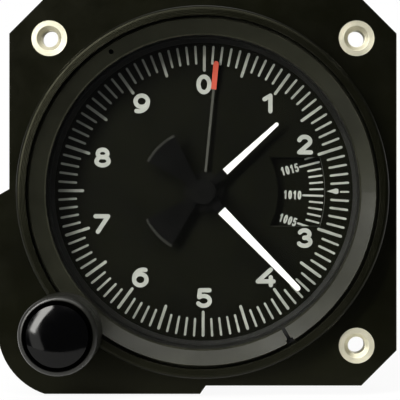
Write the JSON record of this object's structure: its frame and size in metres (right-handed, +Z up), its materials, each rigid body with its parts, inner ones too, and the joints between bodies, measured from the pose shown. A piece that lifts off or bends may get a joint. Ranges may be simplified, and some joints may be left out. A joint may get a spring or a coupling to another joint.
{
  "type": "panel altimeter",
  "caption": "Round panel altimeter with three pointers, a pressure window, a setting knob and a square mounting flange.",
  "frame": {"origin": "centre of the flange's front face, on the dial's axis", "axes": "+Z up, +X to the right as the pilot sees it, -Y out of the dial toward the pilot"},
  "size_m": [0.0813, 0.0939, 0.0809],
  "materials": {
    "case_black": "satin black moulding",
    "ring_black": "black coated spring steel",
    "dial_black": "matt black paint",
    "knob_black": "satin black",
    "cap_gloss": "polished black",
    "nickel": "turned nickel-plated brass",
    "glass": "clear, coated",
    "rubber": "matt",
    "pointer_white": "matt white and black paint",
    "pointer_red": "matt red-orange tip on a grey stem",
    "brass": "turned",
    "steel": "turned",
    "capsule_metal": "stamped, satin",
    "jewel": "polished",
    "fibre": "matt"
  },
  "bodies": {
    "case": {"case_body": "case_black", "mounting_flange": "case_black", "mounting_inserts": "nickel", "retaining_ring": "ring_black", "front_glass": "glass", "glass_seal": "rubber", "spacer_ring": "dial_black", "dial_plate": "dial_black", "knob_bushing": "brass", "shaft_seal": "rubber", "gland_washer": "brass", "pinion_cover": "case_black", "case_screws": "steel", "rear_gasket": "rubber", "rear_cover": "case_black", "rear_pivot_bush": "brass", "static_nipple": "steel", "nipple_washer": "fibre"},
    "knob": {"knob_body": "knob_black", "knob_collet": "brass", "collet_screw": "steel", "knob_cap": "cap_gloss", "knob_shaft": "steel", "setting_pinion": "brass"},
    "movement": {"front_plate": "brass", "setting_ring_gear": "brass", "ring_gear_rivets": "brass", "scale_disc": "dial_black", "scale_screws": "steel", "front_pillars": "steel", "middle_plate": "brass", "rear_pillars": "steel", "rear_plate": "brass", "plate_screws": "steel", "jewels": "jewel", "hairspring": "steel", "hairspring_stud": "brass", "capsule_bracket": "steel", "bracket_screws": "steel", "capsule_stud": "steel", "aneroid_capsules": "capsule_metal"},
    "capsule_end": {"capsule_boss": "brass", "link_rod": "steel"},
    "rocker": {"rocking_shaft": "steel", "rocking_arm": "brass", "sector_gear": "brass"},
    "second_train": {"second_arbor": "steel", "second_wheel": "brass"},
    "long_hand": {"pointer_staff": "steel", "long_pointer": "pointer_white", "long_hub": "dial_black"},
    "short_hand": {"short_sleeve": "brass", "short_sleeve_wheel": "brass", "short_pointer": "pointer_white", "short_hub": "dial_black"},
    "third_hand": {"third_sleeve": "brass", "third_sleeve_wheel": "brass", "third_pointer": "pointer_red"},
    "idler_one": {"first_idler": "brass"},
    "idler_two": {"second_idler": "brass"}
  },
  "joints": [
    {"name": "movement_turn", "type": "hinge", "parent": "case", "child": "movement", "pos_m": [0, 0, 0], "axis": [0, 1, 0], "range_deg": [-190, 124]},
    {"name": "knob_turn", "type": "hinge", "parent": "case", "child": "knob", "pos_m": [-0.028, 0, -0.028], "axis": [0, 1, 0], "range_deg": [-558.1, 855.1]},
    {"name": "rocking_shaft_turn", "type": "hinge", "parent": "movement", "child": "rocker", "pos_m": [0.01532, 0, -0.01286], "axis": [0, 1, 0], "range_deg": [-7.09, 38.8]},
    {"name": "second_arbor_turn", "type": "hinge", "parent": "movement", "child": "second_train", "pos_m": [0.01271, 0, 0.00455], "axis": [0, 1, 0], "range_deg": [-388.25, 71.12], "deforming": ["hairspring"]},
    {"name": "long_pointer_turn", "type": "hinge", "parent": "movement", "child": "long_hand", "pos_m": [0, 0, 0], "axis": [0, 1, 0], "range_deg": [-569, 3106]},
    {"name": "first_idler_turn", "type": "hinge", "parent": "movement", "child": "idler_one", "pos_m": [-0.00468, 0, -0.00811], "axis": [0, 1, 0], "range_deg": [-1035.33, 189.67]},
    {"name": "short_pointer_turn", "type": "hinge", "parent": "movement", "child": "short_hand", "pos_m": [0, 0, 0], "axis": [0, 1, 0], "range_deg": [-56.9, 310.6]},
    {"name": "second_idler_turn", "type": "hinge", "parent": "movement", "child": "idler_two", "pos_m": [-0.00936, 0, 0], "axis": [0, 1, 0], "range_deg": [-103.53, 18.97]},
    {"name": "third_pointer_turn", "type": "hinge", "parent": "movement", "child": "third_hand", "pos_m": [0, 0, 0], "axis": [0, 1, 0], "range_deg": [-5.72, 31.09]},
    {"name": "capsule_travel", "type": "slide", "parent": "movement", "child": "capsule_end", "axis": [1, 0, 0], "range_m": [-0.00075, 0.004], "deforming": ["aneroid_capsules"]}
  ],
  "couplings": [
    {"joint": "knob_turn", "follows": "movement_turn", "ratio": -4.5},
    {"joint": "second_arbor_turn", "follows": "rocking_shaft_turn", "ratio": -10},
    {"joint": "long_pointer_turn", "follows": "rocking_shaft_turn", "ratio": 80},
    {"joint": "first_idler_turn", "follows": "rocking_shaft_turn", "ratio": -26.667},
    {"joint": "short_pointer_turn", "follows": "rocking_shaft_turn", "ratio": 8},
    {"joint": "second_idler_turn", "follows": "rocking_shaft_turn", "ratio": -2.6667},
    {"joint": "third_pointer_turn", "follows": "rocking_shaft_turn", "ratio": 0.8},
    {"joint": "capsule_travel", "follows": "rocking_shaft_turn", "m_per_rad": 0.00588}
  ]
}
